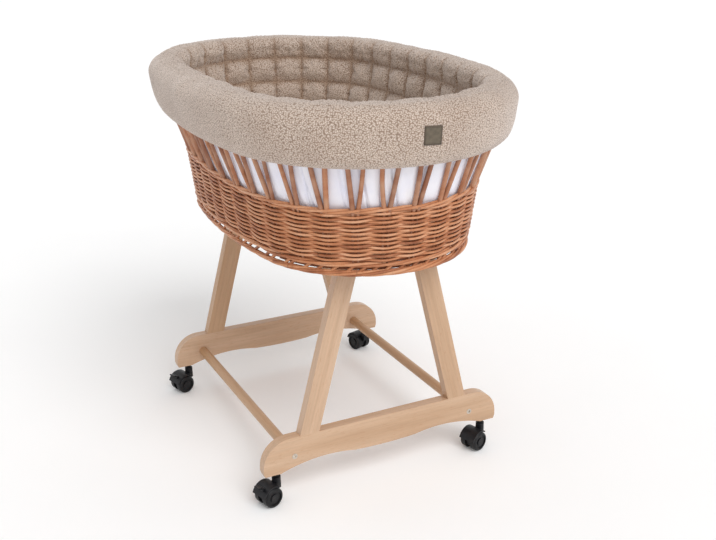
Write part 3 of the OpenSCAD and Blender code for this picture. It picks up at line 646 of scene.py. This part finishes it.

# %% [markdown]
# ## Looped plush
# The liner is beige looped plush: small curls a few millimetres across, light on top and dark between.
# Hair would show them but is lost outside Blender, so the curls are real bumps in the mesh,
# and the finish paints shade into the hollows with the same kind of cells, adds finer yarn and paints
# shade along the quilting seams.

# %% Plush finish
def plush():
    """Beige curls with painted shade in the hollows between them and along the stitched lines."""
    made, tree, shader = finish("looped_plush", Roughness=1.0, Sheen_Weight=0.9, Sheen_Roughness=0.45)
    shader.inputs["Specular IOR Level"].default_value = 0.1
    shader.inputs["Sheen Tint"].default_value = screen(238, 231, 227)
    where = put(tree, "TexCoord").outputs["Object"]
    around, over, seam = (put(tree, "Attribute", attribute_name=n).outputs["Fac"]
                          for n in ("around", "over", "seam"))
    laid = put(tree, "CombineXYZ", {"X": around, "Y": over}).outputs[0]
    wobble = put(tree, "TexNoise", {"Vector": laid, "Scale": 0.22, "Detail": 2.0},
                 noise_dimensions="2D").outputs["Color"]
    shift = put(tree, "VectorMath", {0: wobble, "Scale": 2.6}, operation="SCALE").outputs[0]
    curl = put(tree, "VectorMath", {0: laid, 1: shift}, operation="ADD").outputs[0]
    loops = put(tree, "TexVoronoi", {"Vector": curl, "Scale": 0.36, "Randomness": 0.85},
                voronoi_dimensions="2D")
    yarns = put(tree, "TexVoronoi", {"Vector": curl, "Scale": 0.9}, voronoi_dimensions="2D")
    cell, fine = loops.outputs["Distance"], yarns.outputs["Distance"]
    own = put(tree, "SeparateColor", {"Color": loops.outputs["Color"]}).outputs[0]
    cloud = put(tree, "TexNoise", {"Vector": where, "Scale": 14.0, "Detail": 3.0}).outputs["Fac"]
    yarn = ramp(tree, cloud, (0.35, screen(233, 218, 207)), (0.65, screen(243, 230, 220)))
    yarn = mix(tree, 0.35, yarn, ramp(tree, own, (0.0, 0.72), (1.0, 1.0)), "MULTIPLY")
    # Painted shade: darker towards the edges of the curl cells, where the hollows lie, and a little
    # between the fine yarns.
    painted_hollow_shade = ramp(tree, cell, (0.10, screen(255, 255, 255)), (0.36, screen(202, 188, 176)),
                  (0.72, screen(152, 134, 119)))
    yarn = mix(tree, 0.9, yarn, painted_hollow_shade, "MULTIPLY")
    yarn = mix(tree, 0.25, yarn, ramp(tree, fine, (0.2, 1.0), (0.7, 0.7)), "MULTIPLY")
    # Painted shade along the quilting seams.
    yarn = mix(tree, seam, yarn, mix(tree, 1.0, yarn, screen(212, 198, 184), "MULTIPLY"))
    tree.links.new(yarn, shader.inputs["Base Color"])
    slight = put(tree, "Math", {0: fine, 1: 0.4}, operation="MULTIPLY").outputs[0]
    depth = put(tree, "Math", {0: cell, 1: slight}, operation="ADD").outputs[0]
    height = put(tree, "Math", {0: 1.0, 1: depth}, operation="SUBTRACT").outputs[0]
    bump(tree, shader, height, 0.55, 0.002)
    return made


plush_finish = plush()
print("plush finish nodes:", len(plush_finish.node_tree.nodes))

# %% [markdown]
# ## Filling with air
# Padding shows in how cloth swells between its seams. Blender's cloth solver does that with pressure:
# sewn points are pinned, the rest of the closed skin is blown out a little,
# and the result is kept as plain points.
# The way a point may go is capped, so the filled piece still fits its place.

# %% Cloth helper
def filled(name, grid, pinned, pressure, cap, frames=20):
    """The grid of a closed skin after the cloth solver has filled it. Pins are 1 where sewn."""
    rows, cols = grid.shape[:2]
    skin = solid(name, grid.reshape(-1, 3), grid_faces(rows, cols, True, True), plush_finish)
    sewn = skin.vertex_groups.new(name="sewn")
    for weight in np.unique(pinned[pinned > 0]):
        sewn.add(np.flatnonzero(pinned.ravel() == weight).tolist(), float(weight), "REPLACE")
    cloth = skin.modifiers.new("filling", "CLOTH")
    cloth.settings.quality = 5
    cloth.settings.mass = 0.3
    cloth.settings.use_pressure = True
    cloth.settings.uniform_pressure_force = pressure
    cloth.settings.effector_weights.gravity = 0
    cloth.settings.vertex_group_mass = "sewn"
    cloth.settings.shrink_min = -0.04
    cloth.point_cache.frame_start, cloth.point_cache.frame_end = 1, frames
    for frame_number in range(1, frames + 1):
        scene.frame_set(frame_number)
    shaped = skin.evaluated_get(bpy.context.evaluated_depsgraph_get()).data
    flat = np.empty(rows*cols*3, np.float32)
    shaped.vertices.foreach_get("co", flat)
    scene.frame_set(1)
    bpy.data.objects.remove(skin)
    move = flat.reshape(rows, cols, 3)*1000.0 - grid
    far = np.linalg.norm(move, axis=-1, keepdims=True)
    print(name, "mean and largest move in mm:", round(float(far.mean()), 2), round(float(far.max()), 2))
    return grid + move*np.minimum(1.0, cap/np.maximum(far, 1e-9))


# %% [markdown]
# ## The liner
# One padded piece lies over the rim: quilted squares inside, a wide roll on top and a skirt outside
# that ends in a turned hem. Its section is a closed line, swept round the oval,
# so the skin is a closed ring.
# The grid is cut so that its lines fall on the seams: those are pinned while the squares fill.

# %% Liner section
QUILT_COLS, PER_SQUARE, SEAM_Z = 32, 14, (721.0, 671.6, 622.2, 572.8)


def arc(cx, cz, r, first, last, count):
    """Points on an arc between two angles in degrees."""
    a = np.radians(np.linspace(first, last, count))
    return [(cx + r*math.cos(v), cz + r*math.sin(v)) for v in a]


def even_line(points, step):
    """A line resampled to even steps, with its corners eased."""
    p = np.asarray(points, float)
    for _ in range(3):
        near, far = 0.75*p[:-1] + 0.25*p[1:], 0.25*p[:-1] + 0.75*p[1:]
        p = np.vstack([p[:1], np.stack([near, far], 1).reshape(-1, 2), p[-1:]])
    run = np.concatenate([[0], np.cumsum(np.linalg.norm(np.diff(p, axis=0), axis=1))])
    at = np.linspace(0, run[-1], max(int(run[-1]/step), 2))
    return np.stack([np.interp(at, run, p[:, 0]), np.interp(at, run, p[:, 1])], -1)


shown_line = [(-13.5, 525), (-12.6, 540), (-2, 600), (11, 670), (19.0, 721), (20.0, 740)]
shown_line += arc(37.2, 749, 20, 168, 100, 7) + arc(51.2, 737, 32, 84, 0, 10)
shown_line += [(82.0, 722), (79.6, 706), (76.2, 692), (71.5, 680), (65.5, 670), (58.5, 663.5)]
tucked_line = [(52.5, 661.3), (48.6, 662.5), (48.2, 667), (58, 694), (69.8, 725), (75.6, 736),
               (72, 743.5), (64, 746), (55.2, 742), (53.5, 728), (30, 668), (2.4, 590),
               (-2.8, 560), (-6.5, 528), (-9, 524.4)]
shown = even_line(shown_line, 4.7)
tucked = even_line([shown_line[-1]] + tucked_line + [shown_line[0]], 8.0)[1:-1]
section = np.vstack([shown, tucked])
crest = int(np.argmax(shown[:, 1]))
seam_rows = [0] + sorted(int(np.argmin(np.abs(shown[:crest, 1] - z))) for z in SEAM_Z) + [crest + 4]
print("liner section points:", len(section), "seams on rows:", seam_rows)

# %% Liner filled
QUILT_PRESSURE, QUILT_CAP, ROUNDNESS = 5.0, 9.0, 2.2
COLS = QUILT_COLS*PER_SQUARE
t = np.arange(COLS)/COLS
pillow_col = 1 - np.abs(2*np.mod(t*QUILT_COLS, 1.0) - 1)**ROUNDNESS
grid, outs = spot(t[None, :], section[:, 0:1], section[:, 1:2])
slope = np.roll(section, -1, 0) - np.roll(section, 1, 0)
outward = np.stack([-slope[:, 1], slope[:, 0]], -1)/np.linalg.norm(slope, axis=1)[:, None]
normal = outs*outward[:, None, 0:1] + UP*outward[:, None, 1:2]
QUICK_SWELL, FIRST_SWELL = 10.0, 9.0
start = FIRST_SWELL
pinned, seams = np.ones(grid.shape[:2]), np.zeros(grid.shape[:2])
square_of = (t*QUILT_COLS).astype(int)
for first, last in zip(seam_rows[:-1], seam_rows[1:]):
    top = last == seam_rows[-1]
    full = draw.uniform(0.75, 1.2, QUILT_COLS)[square_of]
    for k in range(first, last):
        v = (k - first)/(last - first)
        rim_side = max(0, 1 - 2*v) if top else abs(2*v - 1)
        pillow = pillow_col*(1 - rim_side**ROUNDNESS)
        fade = 1 - 0.95*min(v/0.7, 1.0)**1.4 if top else 1.0
        # seams holds painted shade along the quilting seams; drawn fades it out towards the crest.
        drawn = 1 - min(v/0.85, 1.0)**2 if top else 1.0
        grid[k] += normal[k]*(fade*(start*full*pillow - 1.5))[:, None]
        pinned[k] = np.where(pillow < 0.02, 1.0, 0.9*(1 - fade))
        seams[k] = drawn*(1 - np.clip(pillow*2.0, 0, 1))
grid = filled("quilt_filling", grid, np.round(pinned, 2), QUILT_PRESSURE, QUILT_CAP)
print("quilted squares:", QUILT_COLS*(len(seam_rows) - 1), "first swell in mm:", start)

# %% [markdown]
# The filled grid is then made twice as fine with smooth curves, and the curls are added:
# cells of yarn a few millimetres wide, raised along the surface, over slow lumps in the filling.

# %% Liner made finer
def finer(a, axis):
    """Twice as many points along a closed direction, on smooth curves through the old ones."""
    half = (9*(a + np.roll(a, -1, axis)) - np.roll(a, 1, axis) - np.roll(a, -2, axis))/16
    both = np.stack([a, half], axis + 1)
    return both.reshape(a.shape[:axis] + (2*a.shape[axis],) + a.shape[axis + 1:])


fine_grid, fine_seams = finer(finer(grid, 0), 1), finer(finer(seams, 0), 1)
across = np.roll(fine_grid, -1, 1) - np.roll(fine_grid, 1, 1)
up_line = np.roll(fine_grid, -1, 0) - np.roll(fine_grid, 1, 0)
face_out = np.cross(up_line, across)
face_out /= np.linalg.norm(face_out, axis=-1, keepdims=True)
if np.sum(face_out[2*crest, :, 2]) < 0:
    face_out = -face_out
step = np.linalg.norm(np.diff(finer(section, 0), axis=0), axis=1)
over = np.broadcast_to(np.concatenate([[0], np.cumsum(step)])[:, None], fine_grid.shape[:2])
fine_cols = fine_grid.shape[1]
around = np.broadcast_to((np.arange(fine_cols)/fine_cols*ROUND)[None, :], fine_grid.shape[:2])
print("liner grid:", fine_grid.shape[:2])


# %% Liner surface
def loop_height(u, v, size):
    """Height from 0 to 1 of round loops on a jittered lattice."""
    table = draw.uniform(0.1, 0.9, (64, 64, 2))
    a, b = np.floor(u/size).astype(int), np.floor(v/size).astype(int)
    best = np.full(u.shape, 9.0)
    for i in (-1, 0, 1):
        for j in (-1, 0, 1):
            middle = table[(a + i) % 64, (b + j) % 64]
            near = (a + i + middle[..., 0] - u/size)**2 + (b + j + middle[..., 1] - v/size)**2
            best = np.minimum(best, near)
    return np.clip(1 - best/0.5, 0, 1)


LOOP_SIZE, LOOP_RISE = 4.8, 0.5
PATCH_ANGLE, PATCH_Z, PATCH_HALF = math.radians(267.4), 718.0, 16.0
PATCH_X = math.cos(PATCH_ANGLE)*(END_R + 80)
shown_rows = 2*len(shown) - 1
push = LOOP_RISE*(loop_height(around, over, LOOP_SIZE) - 0.6)
push[shown_rows:] = 0
for k in range(shown_rows):
    ease = min(k/24, 1)*min((shown_rows - 1 - k)/8, 1)
    for i in range(fine_cols):
        place = Vector(fine_grid[k, i])
        push[k, i] += ease*(noise.noise(place*0.011)*3.0 + noise.noise(place*0.03)*1.2)
bare = (np.abs(fine_grid[..., 0] - PATCH_X) < PATCH_HALF + 2) & (fine_grid[..., 1] < 0)
bare &= (np.abs(fine_grid[..., 2] - PATCH_Z) < PATCH_HALF + 2) & (face_out[..., 1] < -0.3)
push = np.where(bare, np.minimum(push, -0.6), push)
skin = fine_grid + push[..., None]*face_out
# The first mark carries painted shade along the seams.
marks = {"seam": np.clip(fine_seams, 0, 1).ravel(), "around": around.ravel(), "over": over.ravel()}
faces = grid_faces(skin.shape[0], skin.shape[1], True, True)
liner = solid("plush_liner", skin.reshape(-1, 3), faces, plush_finish, marks)
on_basket(liner, "plush", "liner_cover", "quilted_panel")

# %% [markdown]
# ## The mattress
# A thin foam mattress in a cream cotton cover lies on the lining. It has soft edges, a low crown
# and a piped seam round its top and bottom, which a plain slab would lack.

# %% Mattress
ticking = cotton("cream_ticking", screen(238, 233, 222), screen(232, 226, 213), threads="XY")
EDGE, BED_Z, BED_H, ROUND_IN, REACH, BED_COLS = -15.8, 475.6, 42.0, 11.0, 175, 240
t = np.arange(BED_COLS)/BED_COLS
shape = [(-70.0, 0.0), (-40.0, 0.0), (-20.0, 0.0)]
shape += [(ROUND_IN*(math.cos(a) - 1), 0.5 + 0.5*math.sin(a))
          for a in np.radians(np.linspace(-86, 86, 15))]
shape += [(-ROUND_IN - d, 1.0 + 0.1*(1 - (1 - d/REACH)**2)) for d in np.linspace(1.5, REACH, 26)]
loops = []
for inward, share in shape:
    pucker = 0.5*np.sin(2*math.pi*64*t)*math.sin(math.pi*min(max(share, 0), 1))
    loop, _ = spot(t, EDGE + inward + pucker, BED_Z + share*BED_H)
    if share > 0.9:
        loop[:, 2] += [noise.noise(Vector(p)*0.013)*1.6 + noise.noise(Vector(p)*0.04)*0.5 - 0.9
                       for p in loop]
    loops.append(loop)
faces = grid_faces(len(shape), BED_COLS, False, True)
faces.append(list(range(BED_COLS)))
faces.append(list(range(len(shape)*BED_COLS - 1, (len(shape) - 1)*BED_COLS - 1, -1)))
mattress = solid("mattress_pad", np.concatenate(loops), faces, ticking)
on_basket(mattress, "ticking", "mattress")

# %% Mattress piping
PIPING_R = 1.8
cords = [(spot(t, EDGE - d, BED_Z + h)[0], PIPING_R, True, 0.5, UP) for d, h in ((3.0, 5.5), (4.6, 35.5))]
piping = strands("mattress_piping", cords, ticking, 8)
on_basket(piping, "ticking")

# %% [markdown]
# ## The plain patch
# A small square patch is sewn on the front of the cover. It stays blank.
# It is a thin bent plate that follows the roll, darker along its cut edge,
# with a row of stitches just inside. A flat plate would stand off the round cover at its corners.

# %% Patch finish
def patch_leather():
    """Dull brown leather with a fine pebble, darker where it was cut."""
    made, tree, shader = finish("patch_leather", Roughness=0.6)
    where = put(tree, "TexCoord").outputs["Object"]
    cell = put(tree, "TexVoronoi", {"Vector": where, "Scale": 900.0},
               feature="DISTANCE_TO_EDGE").outputs[0]
    cloud = put(tree, "TexNoise", {"Vector": where, "Scale": 160.0, "Detail": 4.0}).outputs["Fac"]
    hide = ramp(tree, cloud, (0.3, screen(87, 77, 63)), (0.7, screen(109, 98, 82)))
    cut = put(tree, "Attribute", attribute_name="cut").outputs["Fac"]
    tree.links.new(mix(tree, cut, hide, screen(78, 62, 49)), shader.inputs["Base Color"])
    tree.links.new(ramp(tree, cloud, (0.3, 0.5), (0.7, 0.72)), shader.inputs["Roughness"])
    bump(tree, shader, cell, 0.4, 0.0004)
    return made


leather = patch_leather()
print("patch finish:", leather.name)


# %% Patch plate
COVER_OUT, COVER_Z, COVER_SLOPE, PATCH_GAP = 77.74, 694, 0.125, 0.3


def patch_point(u, v, lift):
    """A point on the patch: u to the right and v up from its middle in millimetres."""
    u, v = u - 0.03*v, v - 0.05*u
    z = PATCH_Z + v
    radius = END_R + COVER_OUT + (z - COVER_Z)*COVER_SLOPE + PATCH_GAP + lift
    a = PATCH_ANGLE + u/(END_R + 80)
    return np.array([radius*np.cos(a), -END_Y + radius*np.sin(a), z])


N, FRONT, BACK = 16, 1.35, -1.5
points, faces, cut = [], [], []
for layer, lift in enumerate((FRONT, BACK)):
    for i in range(N + 1):
        for j in range(N + 1):
            u, v = (i/N - 0.5)*2*PATCH_HALF, (j/N - 0.5)*2*PATCH_HALF
            edge = PATCH_HALF - max(abs(u), abs(v))
            drop = 0.45*max(0, 1 - edge/1.5)**2 if layer == 0 else 0
            points.append(patch_point(u, v, lift - drop))
            cut.append(max(0, 1 - edge/2.2))
    sheet_faces = grid_faces(N + 1, N + 1, start=layer*(N + 1)**2)
    faces += sheet_faces if layer else [f[::-1] for f in sheet_faces]
M = (N + 1)**2
rim = [i*(N + 1) for i in range(N)] + [N*(N + 1) + j for j in range(N)]
rim += [(N - i)*(N + 1) + N for i in range(N)] + [N - j for j in range(N)]
faces += [[a, b, b + M, a + M] for a, b in zip(rim, rim[1:] + rim[:1])]
patch = solid("plain_patch", points, faces, leather, {"cut": cut})
on_basket(patch, "patch", "label_patch")

# %% Patch stitches
STITCH_PITCH, HALF_STITCH, THREAD_R, INSET = 3.3, 1.1, 0.3, PATCH_HALF - 2.2
stitches = []
for k in range(9):
    first, last = (k - 4)*STITCH_PITCH - HALF_STITCH, (k - 4)*STITCH_PITCH + HALF_STITCH
    for a, b in (((first, INSET), (last, INSET)), ((first, -INSET), (last, -INSET)),
                 ((INSET, first), (INSET, last)), ((-INSET, first), (-INSET, last))):
        line = [patch_point(a[0] + (b[0] - a[0])*w, a[1] + (b[1] - a[1])*w,
                            FRONT + 0.22*math.sin(math.pi*w)) for w in np.linspace(0, 1, 5)]
        stitches.append((np.array(line), THREAD_R, False, 0.5, np.array([0.0, -1.0, 0.0])))
thread = cotton("patch_thread", screen(84, 72, 59), screen(70, 59, 48))
stitch_row = strands("patch_stitches", stitches, thread, 6)
on_basket(stitch_row, "patch")

# %% [markdown]
# ## Floor and light
# The floor is plain and pale and takes the crib's soft shadow.
# One broad lamp from the front gives the shape, and an even white sky keeps the shadows open.
# A lamp close by would leave the far floor grey, so the lamp is as far away as a sun, with a wide disc
# that softens its shadow. The level is set so that a colour renders about as it is written,
# and only what the camera or a reflection sees of the sky is full white.

# %% Floor
def backdrop():
    """Almost white paper for the floor."""
    made, tree, shader = finish("pale_floor", Roughness=0.9, Emission_Color=(1, 1, 1, 1),
                                Emission_Strength=0.03)
    where = put(tree, "TexCoord").outputs["Object"]
    cloud = put(tree, "TexNoise", {"Vector": where, "Scale": 3.0, "Detail": 2.0}).outputs["Fac"]
    tree.links.new(ramp(tree, cloud, (0.3, screen(252, 252, 252)), (0.7, screen(254, 254, 254))),
                   shader.inputs["Base Color"])
    return made


SPREAD = 14.0
floor_mesh = bpy.data.meshes.new("studio_floor")
corners = [(x*SPREAD, y*SPREAD, 0) for x, y in ((-1, -1), (1, -1), (1, 1), (-1, 1))]
floor_mesh.from_pydata(corners, [], [(0, 1, 2, 3)])
floor_mesh.materials.append(backdrop())
studio_floor = bpy.data.objects.new("studio_floor", floor_mesh)
scene.collection.objects.link(studio_floor)
print("floor side in metres:", 2*SPREAD)

# %% Light
SUN_LEVEL, SUN_DISC, SUN_AIM, SKY_LEVEL = 1.45, math.radians(40), (-0.08, 0.8, -0.85), 0.68
key = bpy.data.lights.new("soft_key", "SUN")
key.energy, key.angle = SUN_LEVEL, SUN_DISC
key_holder = bpy.data.objects.new("soft_key", key)
scene.collection.objects.link(key_holder)
key_holder.rotation_mode = "QUATERNION"
key_holder.rotation_quaternion = Vector(SUN_AIM).to_track_quat("-Z", "Y")
world = bpy.data.worlds.new("even_sky")
scene.world = world
world.use_nodes = True
sky = world.node_tree.nodes["Background"]
sky.inputs["Color"].default_value = (1, 1, 1, 1)
rays = put(world.node_tree, "LightPath").outputs
seen = rays["Is Camera Ray"]
for kind in ("Is Glossy Ray", "Is Transmission Ray"):
    seen = put(world.node_tree, "Math", {0: seen, 1: rays[kind]}, operation="MAXIMUM").outputs[0]
level = put(world.node_tree, "MapRange", {"Value": seen, "To Min": SKY_LEVEL, "To Max": 1.0}).outputs[0]
world.node_tree.links.new(level, sky.inputs["Strength"])
scene.view_settings.view_transform = "Standard"
print("lamp", SUN_LEVEL, "sky", SKY_LEVEL)
